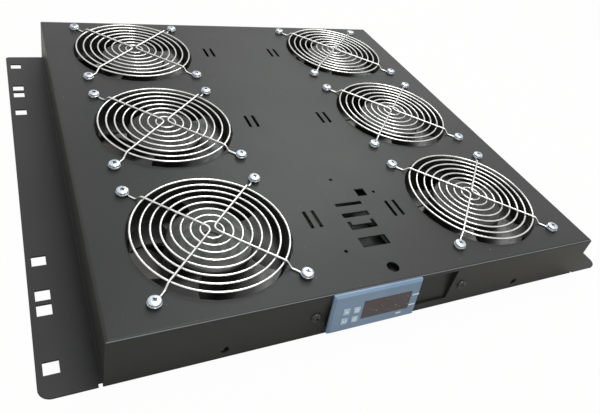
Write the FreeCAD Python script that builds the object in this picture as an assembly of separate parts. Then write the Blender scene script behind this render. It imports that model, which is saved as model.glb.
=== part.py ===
import FreeCAD, Part
import math
import os

# Rack fan tray: a folded sheet-metal tray that carries six axial mains fans with wire finger guards,
# and a small panel controller in its front flange. Millimetres. X runs across the rack, -Y is the
# front, +Z is up, and Z = 0 is the plane that the undersides of the two rack wings stand on.
V = FreeCAD.Vector

# Fans: 120 mm square frames, 38 mm deep, on 105 mm screw squares.
FAN_SIZE = 120.0
FAN_DEPTH = 38.0
FAN_SCREW_INSET = 7.5       # screw centre to the frame's edge
COLUMN_X = 121.0            # fan centres, left and right of the middle
ROW_PITCH = 137.5           # fan centres, front to rear
ROWS = (-1, 0, 1)
COLUMNS = (-1, 1)

# Tray sheet. The middle row of fans lies on Y = 0 while the tray is laid out.
SHEET = 1.5
UNDER_FAN = 2.5             # room left under the fans
SIDE_GAP = 24.5             # fan frame to the outside of a side wall
FRONT_GAP = 12.5            # fan frame to the front face
REAR_GAP = 10.5             # fan frame to the rear face
WING_WIDTH = 35.8
WING_SHORT = 5.0            # the wings stop this far short of the rear face
WING_FRONT_ROUND = 8.0
WING_REAR_ROUND = 3.5
BEND_RADIUS = 2.0           # outside radius of the folds along the top
RELIEF = 2.5                # bend relief between the front flange and each wing

FAN_SCREW_PITCH = FAN_SIZE - 2 * FAN_SCREW_INSET
TOP_Z = UNDER_FAN + FAN_DEPTH + SHEET
BODY_X = COLUMN_X + FAN_SIZE / 2 + SIDE_GAP
WING_X = BODY_X + WING_WIDTH
FRONT_Y = -(ROW_PITCH + FAN_SIZE / 2 + FRONT_GAP)
REAR_Y = ROW_PITCH + FAN_SIZE / 2 + REAR_GAP
WING_REAR_Y = REAR_Y - WING_SHORT

# Square rack holes in the wings, on the rack's own vertical pitches, mirrored front and rear.
RACK_HOLE = 9.5
RACK_HOLE_EDGE = 8.75       # hole centre to the wing's outer edge
RACK_HOLE_END = 20.2        # outermost hole to each end of the wing
RACK_STEPS = (0.0, 44.45, 57.15, 88.9)

# Openings in the top plate.
AIR_RADIUS = 60.0
AIR_SIDES = 30
TIE_SLOT = (3.0, 19.0)      # cable-tie slots, in pairs beside every fan
TIE_SLOT_X = (35.2, 42.8)

# Cut-outs for other controllers: middle X, distance behind the front face, width, length.
SQUARE_CUT = (18.5, 95.8, 9.0, 9.0)
SLIM_CUT = (0.0, 83.9, 25.0, 3.7)
MIDDLE_CUT = (0.0, 71.2, 24.6, 5.2)
TAB_CUT = (0.0, 59.4, 24.6, 9.2)
TAB_WIDTH = 18.0
TAB_LENGTH = 3.9
WIDE_CUT = (0.0, 40.8, 24.8, 10.2)
PILOT_RADIUS = 1.65
PILOT_HOLES = ((-0.7, 115.7), (30.9, 94.6), (-34.9, 64.6), (-28.4, 35.2))
GROMMET_RADIUS = 5.0
GROMMET_HOLE = (0.3, 13.3)

# Front flange. The window's gaps are to the controller's case, where it leans through the sheet.
WINDOW_SIDE_GAP = 0.5
WINDOW_GAP_ABOVE = 0.38
WINDOW_GAP_BELOW = 1.88
FRONT_HOLE_RADIUS = 3.0
FRONT_HOLE_X = 129.5
FRONT_HOLE_DROP = 34.0      # below the top face

# Fan frame, motor and impeller. Z is measured from the underside of the fan.
FLANGE = 4.5
FLANGE_CORNER = 6.0
BARREL_WALL = 2.0
BARREL_SIDES = 16
BASE_RADIUS = 31.0
BASE_THICKNESS = 4.0
STRUT_WIDTH = 6.0
STRUTS = 4
POST_RADIUS = 7.5
POST_TOP = 27.0
BUSH_RADIUS = 5.0
BUSH_LENGTH = 20.0
SHAFT_RADIUS = 2.0
SHAFT_CLEARANCE = 0.03
SHAFT_SIDES = 8
SHAFT_END = 0.5             # end play under the shaft
COLLAR_GAP = 1.0            # bearing post to the collar
STACK_RADIUS = 25.5
STACK_HEIGHT = 12.0
STACK_BOTTOM = 10.0
COIL_RADIUS = 21.0
COIL_HEIGHT = 4.5
HUB_RADIUS = 32.0
HUB_WALL = 2.6
HUB_BOTTOM = 7.0
HUB_TOP = 35.0
HUB_BEVEL = 2.0
HUB_SIDES = 12
BLADES = 5
BLADE_TIP_GAP = 1.2
BLADE_THICKNESS = 1.8
BLADE_MIDDLE = 20.5         # height of the blades' middle
BLADE_ROOT_RISE = 24.0      # height from the trailing to the leading edge, at the hub and at the tip
BLADE_TIP_RISE = 18.0
BLADE_ROOT_SWEEP = 50.0     # degrees that a blade takes up round the hub and round the tip circle
BLADE_TIP_SWEEP = 58.0
BLADE_CAMBER = 3.0
BLADE_STATIONS = 3          # straight facets along the chord
BLADE_RINGS = 1             # straight facets from hub to tip

# Wire finger guard.
WIRE = 1.7
RINGS = 8
RING_RADIUS = 56.7
RING_STEP = 6.9
RING_SAG = 1.8              # how far each ring's straight facets stand inside its circle
GUARD_RISE = 3.0            # underside of the rings above the plate
LEG_APEX = 1.5              # the two V legs pass this far either side of the middle
EYE_RADIUS = 4.4
EYE_GAP = 0.2               # eye's bore to the screw
EYE_SIDES = 4
STEP_START = 2.5            # the leg steps down this far outside the outer ring
STEP_RUN = 3.5

# Guard screws: pan heads with a captive washer, which cut their thread in the fan's top flange.
SCREW_RADIUS = 2.15
SCREW_LENGTH = 12.0
SCREW_GAP = 0.3             # plate's hole to the screw
HEAD_RADIUS = 4.0
HEAD_HEIGHT = 2.4
WASHER_RADIUS = 4.8
WASHER = 1.0

# Panel controller: bezel, case and the plate that carries it, leaning back behind the window.
LEAN = 7.0
BEZEL_SIDE = 2.0            # bezel beyond the case at each side
BEZEL_EDGE = 3.0            # and above and below it
BEZEL_THICKNESS = 3.0
BEZEL_ROUND = 2.0
BEZEL_BEVEL = 0.8
BEZEL_LEFT = -56.5
BEZEL_DROP = 0.6            # bezel's top edge below the top face
CASE_WIDTH = 71.0
CASE_HEIGHT = 28.5
CASE_DEPTH = 78.0
CASE_WALL = 2.0
BEZEL_WIDTH = CASE_WIDTH + 2 * BEZEL_SIDE
BEZEL_HEIGHT = CASE_HEIGHT + 2 * BEZEL_EDGE
CARRIER = 1.2
CARRIER_GAP = 6.0           # bezel's back to the carrier plate
CARRIER_SIDE_GAP = 1.3      # case to the carrier's nearer cheek
CARRIER_TOP = 2.4           # below the bezel's top edge, along the lean
CARRIER_HEIGHT = 31.0
CARRIER_FIT = 0.3
EAR_WIDTH = 17.0
EAR_HEIGHT = 22.0
EAR_SCREW_DROP = 21.0       # below the top face
CARRIER_SCREW_RADIUS = 2.0
CARRIER_HEAD_RADIUS = 4.2
CARRIER_HEAD = 2.2
CARRIER_SCREW_LENGTH = 8.0
CARRIER_NUT_FLATS = 7.0
CARRIER_NUT_HEIGHT = 3.2

# Face of the bezel: left edge, top edge, width and height, from its top left corner.
DISPLAY = (25.3, 9.0, 41.5, 17.0)
DISPLAY_PANE = 1.2
DISPLAY_STEP = 0.3          # the pane lies this far below the bezel's face
KEYS = {"key_up": (8.8, 12.6), "key_set": (17.4, 13.0), "key_down": (8.6, 21.2), "key_power": (17.2, 21.4)}
KEY_SIZE = 5.6
KEY_FIT = 0.2
KEY_PROUD = 0.6
KEY_SKIRT = 0.7             # skirt behind the bezel that keeps each key in
KEY_SKIRT_THICKNESS = 0.8
KEY_TRAVEL = 0.4
BOARD_THICKNESS = 1.6
BOARD_DEPTH = 8.0           # front of the face board behind the bezel's face
BOARD_FIT = 0.4
SWITCH = 5.0
MAIN_BOARD_LENGTH = 55.0
CLIP_THICKNESS = 4.0
CLIP_LENGTH = 26.0
CLIP_HEIGHT = 12.0
TERMINAL_DEPTH = 9.0
TERMINAL_WIDTH = 60.0
TERMINAL_HEIGHT = 14.0

# Mains inlet in the rear flange.
INLET_X = 0.0
INLET_DROP = 20.5           # below the top face
INLET_FLANGE = (50.0, 23.0, 2.5)
INLET_BODY = (27.0, 20.0, 20.0)
INLET_RECESS = (24.0, 16.8, 16.0)
INLET_CORNER = 4.0
INLET_CUT_FIT = 0.3
INLET_SCREW_PITCH = 40.0
INLET_SCREW_RADIUS = 1.5
INLET_HEAD_RADIUS = 2.8
INLET_HEAD = 1.8
INLET_NUT_FLATS = 5.5
INLET_NUT_HEIGHT = 2.4
INLET_SCREW_LENGTH = 9.0
PIN = (2.0, 4.0)            # pin thickness across X and height
PIN_PITCH = 7.0
PIN_OFFSET = 2.0
PIN_LENGTH = 11.5
TAB_REACH = 8.0


def block(x0, x1, y0, y1, z0, z1):
    """Plain bar between two corners."""
    return Part.makeBox(x1 - x0, y1 - y0, z1 - z0, V(x0, y0, z0))


def rod(radius, z0, z1, x=0.0, y=0.0):
    """Round bar standing on Z."""
    return Part.makeCylinder(radius, z1 - z0, V(x, y, z0))


def flat_face(corners):
    """Flat face between corners given in order."""
    return Part.Face(Part.makePolygon(corners + corners[:1]))


def ngon(sides, radius, z, x=0.0, y=0.0):
    """Corners of a regular outline round a point, the first half a side off the X axis."""
    turn = 2 * math.pi / sides
    return [V(x + radius * math.cos(turn * (k + 0.5)), y + radius * math.sin(turn * (k + 0.5)), z)
            for k in range(sides)]


def flat_sided(sides, radius, z0, z1, x=0.0, y=0.0):
    """Bar with a few flats in place of a round, for what repeats many times."""
    return flat_face(ngon(sides, radius, z0, x, y)).extrude(V(0, 0, z1 - z0))


def across_flats(sides, inner_radius, z0, z1, x=0.0, y=0.0):
    """Flat-sided bar that just holds a round of the given radius inside its flats."""
    return flat_sided(sides, inner_radius / math.cos(math.pi / sides), z0, z1, x, y)


def tapered(sides, low_radius, z0, high_radius, z1, x=0.0, y=0.0):
    """Flat-sided bar whose size changes from one end to the other."""
    low, high = ngon(sides, low_radius, z0, x, y), ngon(sides, high_radius, z1, x, y)
    flats = [flat_face([low[k - 1], low[k], high[k], high[k - 1]]) for k in range(sides)]
    return Part.makeSolid(Part.makeShell(flats + [flat_face(low), flat_face(high)]))


def fan_places():
    """Number and centre of each fan, left column first, front to rear."""
    places = [(column * COLUMN_X, row * ROW_PITCH) for column in COLUMNS for row in ROWS]
    return list(enumerate(places, start=1))


def corner_places(x, y):
    """The four screw places of the fan centred there."""
    half = FAN_SCREW_PITCH / 2
    return [(x + i * half, y + j * half) for i in (-1, 1) for j in (-1, 1)]


def edges_along(shape, direction, test):
    """Straight edges of a shape along one direction whose middle passes the test."""
    found = []
    for edge in shape.Edges:
        run = edge.Vertexes[-1].Point - edge.Vertexes[0].Point
        if run.Length > 0 and abs(run.dot(direction)) > 0.999 * run.Length:
            if test(edge.CenterOfMass):
                found.append(edge)
    return found


# ---- Tray -------------------------------------------------------------------------------------

def folded_body():
    """Top plate with its four sides folded down, open underneath."""
    body = block(-BODY_X, BODY_X, FRONT_Y, REAR_Y, 0, TOP_Z)
    top_edges = [e for e in body.Edges if abs(e.BoundBox.ZMin - TOP_Z) < 0.01]
    body = body.makeFillet(BEND_RADIUS, top_edges)
    inside = block(-BODY_X + SHEET, BODY_X - SHEET, FRONT_Y + SHEET, REAR_Y - SHEET, -SHEET, TOP_Z - SHEET)
    return body.cut(inside)


def wing(side):
    """Flat rack wing folded out at the foot of one side wall."""
    x0, x1 = sorted((side * BODY_X, side * WING_X))
    flat = block(x0, x1, FRONT_Y, WING_REAR_Y, 0, SHEET)
    outer = edges_along(flat, V(0, 0, 1), lambda c: abs(c.x - side * WING_X) < 0.01)
    front = [e for e in outer if e.CenterOfMass.y < 0]
    flat = flat.makeFillet(WING_FRONT_ROUND, front)
    rear = edges_along(flat, V(0, 0, 1),
                       lambda c: abs(c.x - side * WING_X) < 0.01 and abs(c.y - WING_REAR_Y) < 0.01)
    flat = flat.makeFillet(WING_REAR_ROUND, rear)
    notch = block(*sorted((side * BODY_X, side * (BODY_X + RELIEF))), FRONT_Y - SHEET, FRONT_Y + RELIEF,
                  -SHEET, 2 * SHEET)
    return flat.cut(notch)


def fold_corner(side, radius):
    """What lies between a square corner and the round of a wing's fold, on its outer or inner face."""
    x = side * (BODY_X - SHEET + BEND_RADIUS)
    low = FRONT_Y + RELIEF
    corner = block(*sorted((x, x - side * radius)), low, WING_REAR_Y, BEND_RADIUS - radius, BEND_RADIUS)
    return corner.cut(Part.makeCylinder(radius, WING_REAR_Y - low, V(x, low, BEND_RADIUS), V(0, 1, 0)))


def rack_holes():
    """Tools for the square holes in both wings."""
    half = RACK_HOLE / 2
    holes = []
    for side in (-1, 1):
        x = side * (WING_X - RACK_HOLE_EDGE)
        for step in RACK_STEPS:
            for y in (FRONT_Y + RACK_HOLE_END + step, WING_REAR_Y - RACK_HOLE_END - step):
                holes.append(block(x - half, x + half, y - half, y + half, -SHEET, 2 * SHEET))
    return holes


def plate_cut(x, behind, width, length):
    """Square-cornered cut through the top plate, placed from the front face."""
    y = FRONT_Y + behind
    return block(x - width / 2, x + width / 2, y - length / 2, y + length / 2,
                 TOP_Z - 2 * SHEET, TOP_Z + SHEET)


def round_cut(sides, radius, x, y):
    """Hole through the top plate, round to the eye."""
    return flat_sided(sides, radius, TOP_Z - 2 * SHEET, TOP_Z + SHEET, x, y)


def plate_cuts():
    """Tools for every opening in the top plate."""
    cuts = []
    for _, (x, y) in fan_places():
        cuts.append(round_cut(AIR_SIDES, AIR_RADIUS, x, y))
        cuts += [round_cut(6, SCREW_RADIUS + SCREW_GAP, a, b) for a, b in corner_places(x, y)]
    for row in ROWS:
        for x in TIE_SLOT_X:
            for side in (-1, 1):
                cuts.append(plate_cut(side * x, row * ROW_PITCH - FRONT_Y, *TIE_SLOT))
    cuts += [plate_cut(*SQUARE_CUT), plate_cut(*SLIM_CUT), plate_cut(*MIDDLE_CUT), plate_cut(*WIDE_CUT)]
    x, behind, width, length = TAB_CUT
    tab = plate_cut(x, behind + (length - TAB_LENGTH) / 2, TAB_WIDTH, TAB_LENGTH)
    cuts.append(plate_cut(*TAB_CUT).cut(tab))
    cuts += [round_cut(8, PILOT_RADIUS, x, FRONT_Y + behind) for x, behind in PILOT_HOLES]
    cuts.append(round_cut(16, GROMMET_RADIUS, GROMMET_HOLE[0], FRONT_Y + GROMMET_HOLE[1]))
    return cuts


def through_y(radius, x, z, y, reach):
    """Round hole along Y, centred on a flange."""
    return Part.makeCylinder(radius, 2 * reach, V(x, y - reach, z), V(0, 1, 0))


def along_y(bar, x, y, z, direction=1):
    """Lays a bar that stands on Z along Y, forwards or backwards, with its foot at a point."""
    bar.rotate(V(0, 0, 0), V(1, 0, 0), -90.0 * direction)
    bar.translate(V(x, y, z))
    return bar


def screw_hole_y(radius, x, z, y, reach):
    """Hole along Y for a small screw, centred on a flange."""
    return along_y(flat_sided(6, radius, -reach, reach), x, y, z)


def window_cut():
    """Window of the front flange, evenly wide to both sides and clear of the leaning case."""
    _, _, low, high = case_span()
    half = case_reach() + WINDOW_SIDE_GAP
    top = leaning_point(0, high)[1] + WINDOW_GAP_ABOVE
    behind = SHEET / math.cos(math.radians(LEAN)) - low * math.tan(math.radians(LEAN))
    bottom = leaning_point(behind, low)[1] - WINDOW_GAP_BELOW
    return block(-half, half, FRONT_Y - SHEET, FRONT_Y + 2 * SHEET, bottom, top)


def flange_cuts():
    """Tools for the window and holes of the front flange and the inlet's cut-out behind."""
    cuts = [window_cut()]
    for side in (-1, 1):
        cuts.append(through_y(FRONT_HOLE_RADIUS, side * FRONT_HOLE_X, TOP_Z - FRONT_HOLE_DROP, FRONT_Y,
                              2 * SHEET))
        cuts.append(screw_hole_y(CARRIER_SCREW_RADIUS, side * ear_screw_x(), TOP_Z - EAR_SCREW_DROP, FRONT_Y,
                                 2 * SHEET))
        x = INLET_X + side * INLET_SCREW_PITCH / 2
        cuts.append(screw_hole_y(INLET_SCREW_RADIUS, x, inlet_z(), REAR_Y, 2 * SHEET))
    width, height, _ = INLET_BODY
    cuts.append(inlet_outline(width + 2 * INLET_CUT_FIT, height + 2 * INLET_CUT_FIT, REAR_Y - 2 * SHEET,
                              REAR_Y + SHEET))
    return cuts


def tray_shell():
    """The folded tray in one piece, with all its openings."""
    sides = (-1, 1)
    body = folded_body().fuse([wing(side) for side in sides])
    body = body.fuse([fold_corner(side, BEND_RADIUS - SHEET) for side in sides])
    folds = [fold_corner(side, BEND_RADIUS) for side in sides]
    return body.cut(folds + rack_holes() + plate_cuts() + flange_cuts()).removeSplitter()


# ---- Fans -------------------------------------------------------------------------------------

FAN_Z = UNDER_FAN
BARREL_BORE = FAN_SIZE / 2 - BARREL_WALL


def fan_frame(x, y):
    """Die-cast frame: barrel between two square flanges, struts, motor base and bearing post."""
    half = FAN_SIZE / 2
    low, high = FAN_Z, FAN_Z + FAN_DEPTH
    flanges = []
    for z in (low, high - FLANGE):
        plate = block(x - half, x + half, y - half, y + half, z, z + FLANGE)
        plate = plate.makeChamfer(FLANGE_CORNER, edges_along(plate, V(0, 0, 1), lambda c: True))
        flanges.append(plate)
    frame = flat_sided(BARREL_SIDES, half, low + FLANGE / 2, high - FLANGE / 2, x, y).fuse(flanges)
    holes = [flat_sided(6, SCREW_RADIUS, low - 1, high + 1, a, b) for a, b in corner_places(x, y)]
    frame = frame.cut([flat_sided(BARREL_SIDES, BARREL_BORE, low - 1, high + 1, x, y)] + holes)
    struts = []
    for k in range(STRUTS):
        bar = block(POST_RADIUS, BARREL_BORE + BARREL_WALL / 4, -STRUT_WIDTH / 2, STRUT_WIDTH / 2, low,
                    low + BASE_THICKNESS)
        bar.rotate(V(0, 0, 0), V(0, 0, 1), 360.0 / STRUTS * (k + 0.5))
        bar.translate(V(x, y, 0))
        struts.append(bar)
    base = flat_sided(8, BASE_RADIUS, low, low + BASE_THICKNESS, x, y)
    post = flat_sided(8, POST_RADIUS, low, low + POST_TOP, x, y)
    frame = frame.fuse(struts + [base, post])
    return frame.cut(bush_space(x, y)).removeSplitter()


def bush_space(x, y):
    """Blind hole of the post that the bush is pressed into."""
    top = FAN_Z + POST_TOP
    return flat_sided(8, BUSH_RADIUS, top - BUSH_LENGTH, top, x, y)


def bush(x, y):
    """Sintered sleeve that the shaft turns in."""
    bore = across_flats(SHAFT_SIDES, SHAFT_RADIUS + SHAFT_CLEARANCE, FAN_Z, FAN_Z + POST_TOP + 1, x, y)
    return bush_space(x, y).cut(bore)


def stator(x, y):
    """Lamination stack with its two coil ends, pressed over the bearing post."""
    z = FAN_Z + STACK_BOTTOM
    stack = flat_sided(8, STACK_RADIUS, z, z + STACK_HEIGHT, x, y)
    coils = flat_sided(8, COIL_RADIUS, z - COIL_HEIGHT, z + STACK_HEIGHT + COIL_HEIGHT, x, y)
    return stack.fuse(coils).cut(flat_sided(8, POST_RADIUS, FAN_Z, FAN_Z + FAN_DEPTH, x, y))


def blade_point(out, along, lift):
    """Point of a blade's lower face, at a share of the way out and along the chord, raised by lift."""
    root = HUB_RADIUS - HUB_WALL / 2
    tip = BARREL_BORE * math.cos(math.pi / BARREL_SIDES) - BLADE_TIP_GAP
    radius = root + out * (tip - root)
    sweep = BLADE_ROOT_SWEEP + out * (BLADE_TIP_SWEEP - BLADE_ROOT_SWEEP)
    rise = BLADE_ROOT_RISE + out * (BLADE_TIP_RISE - BLADE_ROOT_RISE)
    angle = math.radians((along - 0.5) * sweep)
    arch = BLADE_CAMBER * (1 - (2 * along - 1) ** 2)
    z = FAN_Z + BLADE_MIDDLE + (along - 0.5) * rise + arch + lift
    return V(radius * math.cos(angle), radius * math.sin(angle), z)


def two_facets(a, b, c, d):
    """Four-cornered patch as two flat facets."""
    return [flat_face([a, b, c]), flat_face([a, c, d])]


def blade():
    """One broad twisted blade, from inside the hub's wall to the tip, with flat facets."""
    def node(i, j, lift):
        return blade_point(i / BLADE_RINGS, j / BLADE_STATIONS, lift)

    faces = []
    for i in range(BLADE_RINGS):
        for j in range(BLADE_STATIONS):
            for lift in (0.0, BLADE_THICKNESS):
                faces += two_facets(node(i, j, lift), node(i + 1, j, lift), node(i + 1, j + 1, lift),
                                    node(i, j + 1, lift))
        for j in (0, BLADE_STATIONS):
            faces += two_facets(node(i, j, 0), node(i + 1, j, 0), node(i + 1, j, BLADE_THICKNESS),
                                node(i, j, BLADE_THICKNESS))
    for j in range(BLADE_STATIONS):
        for i in (0, BLADE_RINGS):
            faces += two_facets(node(i, j, 0), node(i, j + 1, 0), node(i, j + 1, BLADE_THICKNESS),
                                node(i, j, BLADE_THICKNESS))
    return Part.makeSolid(Part.makeShell(faces))


def impeller(x, y):
    """Rotor cup with its blades."""
    low, high = FAN_Z + HUB_BOTTOM, FAN_Z + HUB_TOP
    cup = flat_sided(HUB_SIDES, HUB_RADIUS, low, high - HUB_BEVEL, x, y)
    crown = tapered(HUB_SIDES, HUB_RADIUS, high - HUB_BEVEL, HUB_RADIUS - HUB_BEVEL, high, x, y)
    hollow = flat_sided(HUB_SIDES, HUB_RADIUS - HUB_WALL, low - 1, high - HUB_WALL, x, y)
    blades = []
    for k in range(BLADES):
        turned = blade()
        turned.rotate(V(0, 0, 0), V(0, 0, 1), 360.0 / BLADES * k)
        turned.translate(V(x, y, 0))
        blades.append(turned)
    return cup.fuse([crown]).cut(hollow).fuse(blades).removeSplitter()


def rotor_shaft(x, y):
    """Ground shaft with the collar that holds it under the crown of the rotor cup."""
    crown = FAN_Z + HUB_TOP - HUB_WALL
    collar = flat_sided(6, POST_RADIUS, FAN_Z + POST_TOP + COLLAR_GAP, crown, x, y)
    pin = flat_sided(SHAFT_SIDES, SHAFT_RADIUS, FAN_Z + POST_TOP - BUSH_LENGTH + SHAFT_END, crown, x, y)
    return pin.fuse(collar)


# ---- Finger guards ----------------------------------------------------------------------------

RING_Z = TOP_Z + GUARD_RISE
LEG_Z = RING_Z + WIRE


def guard_ring(radius, x, y):
    """One ring of the guard, in as many straight facets as its size needs."""
    sides = max(6, 2 * round(math.pi / math.acos(1 - RING_SAG / radius) / 2))
    outside = flat_sided(sides, radius + WIRE / 2, RING_Z, LEG_Z, x, y)
    return outside.cut(flat_sided(sides, radius - WIRE / 2, RING_Z, LEG_Z, x, y))


def leg_half(side, end):
    """Half of a V leg with its eye: from the middle out over the rings, then down to the plate."""
    half = FAN_SCREW_PITCH / 2
    apex = V(side * LEG_APEX, 0, 0)
    eye = V(side * half, end * half, 0)
    along = eye - apex
    length = along.Length
    step = RING_RADIUS + WIRE / 2 + STEP_START - LEG_APEX
    low = TOP_Z
    profile = [V(-WIRE / 2, 0, LEG_Z), V(step, 0, LEG_Z), V(step + STEP_RUN, 0, low), V(length, 0, low),
               V(length, 0, low + WIRE), V(step + STEP_RUN + WIRE / 2, 0, low + WIRE),
               V(step + WIRE / 2, 0, LEG_Z + WIRE), V(-WIRE / 2, 0, LEG_Z + WIRE)]
    strip = flat_face(profile).extrude(V(0, WIRE, 0))
    strip.translate(V(0, -WIRE / 2, 0))
    strip.rotate(V(0, 0, 0), V(0, 0, 1), math.degrees(math.atan2(along.y, along.x)))
    strip.translate(apex)
    loop = flat_sided(EYE_SIDES, EYE_RADIUS, low, low + WIRE, eye.x, eye.y)
    bore = across_flats(EYE_SIDES, SCREW_RADIUS + EYE_GAP, low - 1, low + WIRE + 1, eye.x, eye.y)
    return strip.fuse(loop).cut(bore)


def finger_guard(x, y):
    """Eight rings under two V legs whose four eyes lie on the plate, welded where they touch."""
    wires = [guard_ring(RING_RADIUS - k * RING_STEP, x, y) for k in range(RINGS)]
    for side in (-1, 1):
        leg = leg_half(side, -1).fuse(leg_half(side, 1)).removeSplitter()
        leg.translate(V(x, y, 0))
        wires.append(leg)
    return Part.makeCompound(wires)


def guard_screw(x, y):
    """Pan-head screw with a captive washer, standing on the guard's eye."""
    seat = TOP_Z + WIRE
    head = tapered(6, WASHER_RADIUS, seat, HEAD_RADIUS, seat + WASHER + HEAD_HEIGHT, x, y)
    return head.fuse(flat_sided(6, SCREW_RADIUS, seat - SCREW_LENGTH, seat, x, y)).removeSplitter()


# ---- Controller -------------------------------------------------------------------------------
# Its pieces are laid out square, with X across, +Y into the tray from the bezel's back and Z down from
# the bezel's top edge, and lean() then sets them in place.

def lean(shape):
    """Turns a controller piece back by the lean and sets it at the front flange."""
    shape.rotate(V(0, 0, 0), V(1, 0, 0), -LEAN)
    shape.translate(V(0, FRONT_Y, TOP_Z - BEZEL_DROP))
    return shape


def bezel():
    """Front frame with the display's opening and the four key holes."""
    right = BEZEL_LEFT + BEZEL_WIDTH
    frame = block(BEZEL_LEFT, right, -BEZEL_THICKNESS, 0, -BEZEL_HEIGHT, 0)
    frame = frame.makeFillet(BEZEL_ROUND, edges_along(frame, V(0, 1, 0), lambda c: True))
    face_edges = [e for e in frame.Edges if e.BoundBox.YMax < -BEZEL_THICKNESS + 0.01]
    frame = frame.makeChamfer(BEZEL_BEVEL, face_edges)
    left, top, width, height = DISPLAY
    cuts = [block(BEZEL_LEFT + left, BEZEL_LEFT + left + width, -BEZEL_THICKNESS - 1, 1, -top - height, -top)]
    for left, top in KEYS.values():
        x = BEZEL_LEFT + left
        cuts.append(block(x - KEY_FIT, x + KEY_SIZE + KEY_FIT, -BEZEL_THICKNESS - 1, 1,
                          -top - KEY_SIZE - KEY_FIT, -top + KEY_FIT))
    return lean(frame.cut(cuts))


def case_span():
    """Left, right, bottom and top of the case behind the bezel."""
    left = BEZEL_LEFT + BEZEL_SIDE
    top = -BEZEL_EDGE
    return left, left + CASE_WIDTH, top - CASE_HEIGHT, top


def case_reach():
    """How far the case reaches from the tray's middle, to whichever side is farther."""
    left, right, _, _ = case_span()
    return max(-left, right)


def case():
    """Box behind the bezel, open at the front."""
    x0, x1, z0, z1 = case_span()
    outside = block(x0, x1, 0, CASE_DEPTH, z0, z1)
    w = CASE_WALL
    return lean(outside.cut(block(x0 + w, x1 - w, -1, CASE_DEPTH - w, z0 + w, z1 - w)))


def display_window():
    """Tinted pane set in the bezel's opening."""
    left, top, width, height = DISPLAY
    x = BEZEL_LEFT + left
    face = -BEZEL_THICKNESS + DISPLAY_STEP
    return lean(block(x, x + width, face, face + DISPLAY_PANE, -top - height, -top))


def display_module():
    """Digit block between the pane and the face board."""
    left, top, width, height = DISPLAY
    x = BEZEL_LEFT + left
    face = -BEZEL_THICKNESS + DISPLAY_STEP + DISPLAY_PANE
    return lean(block(x + 2, x + width - 2, face, BOARD_DEPTH - BEZEL_THICKNESS, -top - height + 2, -top - 2))


def controller_board():
    """Face board with a switch behind each key, and the main board standing off it."""
    x0, x1, z0, z1 = case_span()
    edge = CASE_WALL + BOARD_FIT
    y = BOARD_DEPTH - BEZEL_THICKNESS
    face = block(x0 + CASE_WALL, x1 - CASE_WALL, y, y + BOARD_THICKNESS, z0 + edge, z1 - edge)
    z = z0 + CASE_WALL + 5
    main = block(x0 + CASE_WALL, x1 - CASE_WALL, y + BOARD_THICKNESS, y + MAIN_BOARD_LENGTH,
                 z, z + BOARD_THICKNESS)
    pieces = [main]
    front = KEY_SKIRT_THICKNESS + KEY_TRAVEL + 0.1
    for left, top in KEYS.values():
        middle = BEZEL_LEFT + left + KEY_SIZE / 2
        height = -top - KEY_SIZE / 2
        pieces.append(block(middle - SWITCH / 2, middle + SWITCH / 2, front, y, height - SWITCH / 2,
                            height + SWITCH / 2))
    return lean(face.fuse(pieces))


def key(left, top):
    """One push key: a cap through the bezel and a skirt behind it."""
    x = BEZEL_LEFT + left
    cap = block(x, x + KEY_SIZE, -BEZEL_THICKNESS - KEY_PROUD, 0, -top - KEY_SIZE, -top)
    s = KEY_SKIRT
    skirt = block(x - s, x + KEY_SIZE + s, 0, KEY_SKIRT_THICKNESS, -top - KEY_SIZE - s, -top + s)
    return lean(cap.fuse(skirt))


def side_clips():
    """The two clips that hold the case against the carrier plate."""
    x0, x1, z0, z1 = case_span()
    y = CARRIER_GAP + CARRIER
    middle = (z0 + z1) / 2
    half = CLIP_HEIGHT / 2
    left = block(x0 - CLIP_THICKNESS, x0, y, y + CLIP_LENGTH, middle - half, middle + half)
    right = block(x1, x1 + CLIP_THICKNESS, y, y + CLIP_LENGTH, middle - half, middle + half)
    return lean(Part.makeCompound([left, right]))


def controller_terminals():
    """Screw terminal row across the case's rear wall."""
    x0, x1, z0, z1 = case_span()
    middle = (x0 + x1) / 2
    half = TERMINAL_WIDTH / 2
    bar = block(middle - half, middle + half, CASE_DEPTH, CASE_DEPTH + TERMINAL_DEPTH,
                (z0 + z1) / 2 - TERMINAL_HEIGHT / 2, (z0 + z1) / 2 + TERMINAL_HEIGHT / 2)
    pitch = TERMINAL_WIDTH / 8
    wells = []
    for k in range(8):
        x = middle - half + pitch * (k + 0.5)
        wells.append(block(x - 2, x + 2, CASE_DEPTH + 3, CASE_DEPTH + TERMINAL_DEPTH + 1,
                           (z0 + z1) / 2 - 2.5, (z0 + z1) / 2 + 2.5))
    return lean(bar.cut(wells))


def carrier_half():
    """Half the length of the carrier's leaning panel, over its cheeks."""
    return case_reach() + CARRIER_SIDE_GAP + CARRIER


def ear_screw_x():
    """Distance of the carrier's screws from the tray's middle: the middle of each ear."""
    return carrier_half() + EAR_WIDTH / 2


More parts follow.
